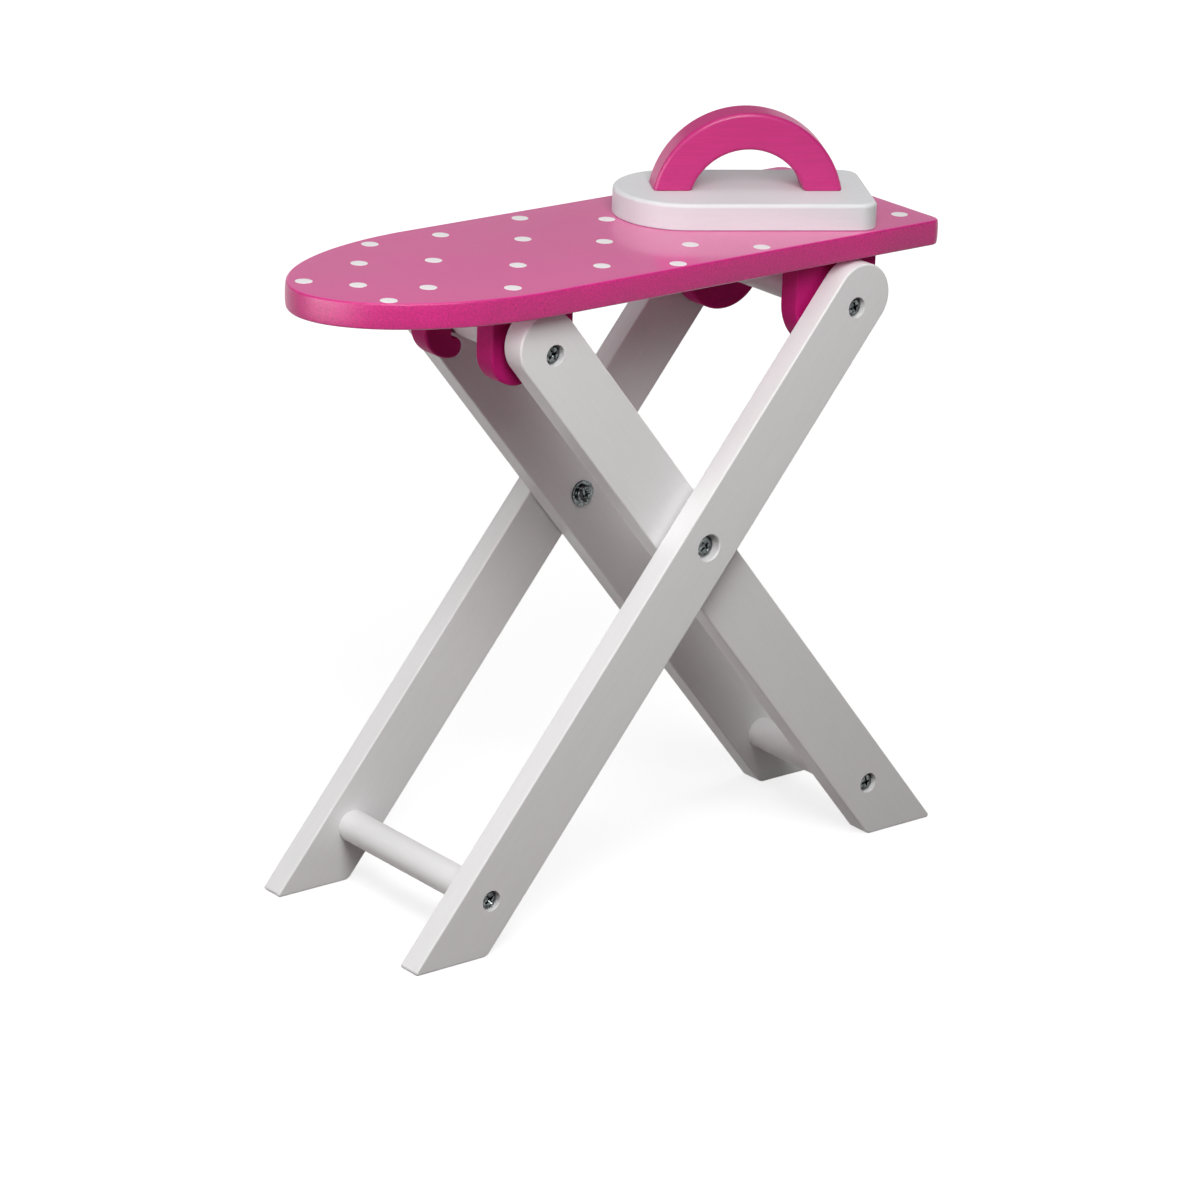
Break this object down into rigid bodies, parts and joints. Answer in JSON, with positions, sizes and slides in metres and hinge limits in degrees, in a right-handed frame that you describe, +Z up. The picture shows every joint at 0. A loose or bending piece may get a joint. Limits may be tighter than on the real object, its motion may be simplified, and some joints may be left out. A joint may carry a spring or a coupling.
{
  "type": "toy ironing board",
  "caption": "Small wooden pretend-play ironing board with a rounded nose, folding scissor legs that catch in hooks under the board, and a loose toy iron with an arched handle.",
  "frame": {"origin": "centre of the bounding box in X and Y, on the floor under the feet", "axes": "+X from the board's nose to its square rear end, +Y across the board, +Z up"},
  "size_m": [0.2732, 0.0936, 0.2794],
  "materials": {
    "pink_paint": "satin pink paint on fibreboard",
    "white_paint": "satin white paint on wood",
    "zinc_steel": "zinc-plated",
    "bare_beech": "unpainted"
  },
  "bodies": {
    "board": {"board_top": "pink_paint", "front_hook_left": "pink_paint", "front_hook_right": "pink_paint", "rear_bracket_left": "pink_paint", "rear_bracket_right": "pink_paint", "hook_pins": "bare_beech", "bracket_pins": "bare_beech"},
    "outer_frame": {"outer_leg_left": "white_paint", "outer_leg_right": "white_paint", "rear_pivot_dowel": "white_paint", "outer_foot_dowel": "white_paint", "outer_top_screws": "zinc_steel", "outer_foot_screws": "zinc_steel", "pivot_barrel_left": "zinc_steel", "pivot_barrel_right": "zinc_steel", "pivot_screw_left": "zinc_steel", "pivot_screw_right": "zinc_steel", "pivot_washer_left": "zinc_steel", "pivot_washer_right": "zinc_steel", "spacer_washer_left": "zinc_steel", "spacer_washer_right": "zinc_steel"},
    "inner_frame": {"inner_leg_left": "white_paint", "inner_leg_right": "white_paint", "front_catch_dowel": "white_paint", "inner_foot_dowel": "white_paint", "inner_top_screws": "zinc_steel", "inner_foot_screws": "zinc_steel"},
    "iron": {"iron_base": "white_paint", "iron_handle": "pink_paint", "iron_pins": "bare_beech"}
  },
  "joints": [
    {"name": "rear_pivot", "type": "hinge", "parent": "board", "child": "outer_frame", "pos_m": [0.07548, 0, 0.2146], "axis": [0, -1, 0], "range_deg": [0, 39]},
    {"name": "leg_scissor", "type": "hinge", "parent": "outer_frame", "child": "inner_frame", "pos_m": [0.01101, 0, 0.13556], "axis": [0, 1, 0], "range_deg": [0, 55]},
    {"name": "iron_lift", "type": "slide", "parent": "board", "child": "iron", "axis": [0, 0, 1], "range_m": [0, 0.08]}
  ],
  "couplings": [
    {"joint": "rear_pivot", "follows": "leg_scissor", "ratio": 0.7}
  ]
}
